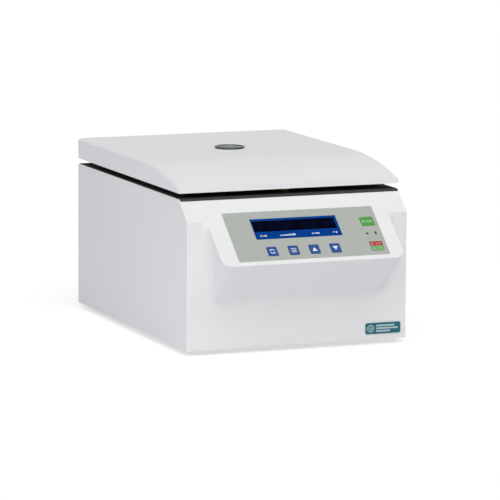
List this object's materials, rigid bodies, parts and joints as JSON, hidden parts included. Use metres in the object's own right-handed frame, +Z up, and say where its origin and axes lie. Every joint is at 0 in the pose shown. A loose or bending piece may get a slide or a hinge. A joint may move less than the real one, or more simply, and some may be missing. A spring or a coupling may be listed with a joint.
{
  "type": "laboratory centrifuge",
  "caption": "Bench-top centrifuge: white casing with a sloping keypad console, domed lid on rear hinges with a sight glass, steel chamber and spinning angle rotor.",
  "frame": {"origin": "on the bench under the feet, in the middle of the outline seen from above", "axes": "+X to the right across the front, +Y to the back, +Z up"},
  "size_m": [0.29, 0.4462, 0.2237],
  "materials": {
    "white_casing": "smooth satin moulding",
    "white_lid": "smooth satin moulding",
    "dark_liner": "fine matt texture",
    "overlay_film": "printed polyester film",
    "display_lens": "glossy tinted window",
    "green_key": "printed film key",
    "red_key": "printed film key",
    "blue_key": "printed film key",
    "badge_teal": "printed plate",
    "clear_window": "clear acrylic",
    "dark_plastic": "moulded",
    "black_rubber": "matt rubber",
    "stainless": "brushed",
    "zinc_steel": "zinc plated",
    "grey_paint": "fine powder coat",
    "cast_motor": "painted casting",
    "rotor_aluminium": "turned and anodised",
    "knob_anodised": "black anodised",
    "brass": "turned",
    "chrome_steel": "polished",
    "copper_coil": "lacquered winding",
    "board": "solder resist",
    "lamp_green": "diffused lens"
  },
  "bodies": {
    "chassis": {"casing": "white_casing", "rear_panel": "grey_paint", "base_plate": "zinc_steel", "rubber_feet": "black_rubber", "base_screws": "zinc_steel", "rear_screws": "zinc_steel", "badge": "badge_teal", "armour_ring": "grey_paint", "chamber_bowl": "stainless", "chamber_gasket": "black_rubber", "motor_mount_plate": "zinc_steel", "vibration_mounts": "black_rubber", "motor_housing": "cast_motor", "motor_end_cap": "cast_motor", "motor_stator": "copper_coil", "motor_bearings": "chrome_steel", "shaft_seal": "black_rubber", "hinge_brackets": "zinc_steel", "hinge_pins": "chrome_steel", "hinge_springs": "chrome_steel", "hinge_screws": "zinc_steel", "lock_housing": "dark_plastic", "lock_solenoid": "zinc_steel", "lid_switch": "dark_plastic", "keypad_overlay": "overlay_film", "display_window": "display_lens", "display_module": "dark_plastic", "status_leds": "lamp_green", "keypad_board": "board", "key_switches": "dark_plastic", "control_board": "board", "power_board": "board", "capacitors": "dark_plastic", "heat_sink": "rotor_aluminium", "power_inlet": "dark_plastic", "switch_housing": "dark_plastic", "fan_frame": "dark_plastic"},
    "lid": {"lid_shell": "white_lid", "lid_liner": "dark_liner", "liner_screws": "zinc_steel", "sight_glass": "clear_window", "sight_glass_bezel": "dark_plastic", "striker_pin": "chrome_steel", "striker_cone": "brass", "lid_hinge_leaves": "zinc_steel"},
    "rotor_set": {"drive_shaft": "chrome_steel", "motor_rotor": "zinc_steel", "rotor": "rotor_aluminium", "rotor_lid": "rotor_aluminium", "rotor_knob": "knob_anodised"},
    "fan": {"fan_impeller": "dark_plastic"},
    "lock_slider": {"lock_bolt": "zinc_steel"},
    "rocker": {"power_rocker": "dark_plastic"},
    "key_mode": {"key_mode": "blue_key"},
    "key_set": {"key_set": "blue_key"},
    "key_up": {"key_up": "blue_key"},
    "key_down": {"key_down": "blue_key"},
    "key_start": {"key_start": "green_key"},
    "key_stop_open": {"key_stop_open": "red_key"}
  },
  "joints": [
    {"name": "lid_hinge", "type": "hinge", "parent": "chassis", "child": "lid", "pos_m": [0, 0.21615, 0.19115], "axis": [-1, 0, 0], "range_deg": [0, 75]},
    {"name": "rotor_spin", "type": "hinge", "parent": "chassis", "child": "rotor_set", "pos_m": [0, 0.05615, 0], "axis": [0, 0, 1], "continuous": true},
    {"name": "fan_spin", "type": "hinge", "parent": "chassis", "child": "fan", "pos_m": [0.085, 0.21975, 0.092], "axis": [0, 1, 0], "continuous": true},
    {"name": "lock_slide", "type": "slide", "parent": "chassis", "child": "lock_slider", "axis": [1, 0, 0], "range_m": [0, 0.006], "stiffness_N_per_m": 150},
    {"name": "power_toggle", "type": "hinge", "parent": "chassis", "child": "rocker", "pos_m": [-0.048, 0.21875, 0.042], "axis": [1, 0, 0], "range_deg": [0, 20]},
    {"name": "key_mode_press", "type": "slide", "parent": "chassis", "child": "key_mode", "axis": [0, 0.6506, -0.7594], "range_m": [0, 0.0004], "stiffness_N_per_m": 2500},
    {"name": "key_set_press", "type": "slide", "parent": "chassis", "child": "key_set", "axis": [0, 0.6506, -0.7594], "range_m": [0, 0.0004], "stiffness_N_per_m": 2500},
    {"name": "key_up_press", "type": "slide", "parent": "chassis", "child": "key_up", "axis": [0, 0.6506, -0.7594], "range_m": [0, 0.0004], "stiffness_N_per_m": 2500},
    {"name": "key_down_press", "type": "slide", "parent": "chassis", "child": "key_down", "axis": [0, 0.6506, -0.7594], "range_m": [0, 0.0004], "stiffness_N_per_m": 2500},
    {"name": "key_start_press", "type": "slide", "parent": "chassis", "child": "key_start", "axis": [0, 0.6506, -0.7594], "range_m": [0, 0.0004], "stiffness_N_per_m": 2500},
    {"name": "key_stop_open_press", "type": "slide", "parent": "chassis", "child": "key_stop_open", "axis": [0, 0.6506, -0.7594], "range_m": [0, 0.0004], "stiffness_N_per_m": 2500}
  ]
}
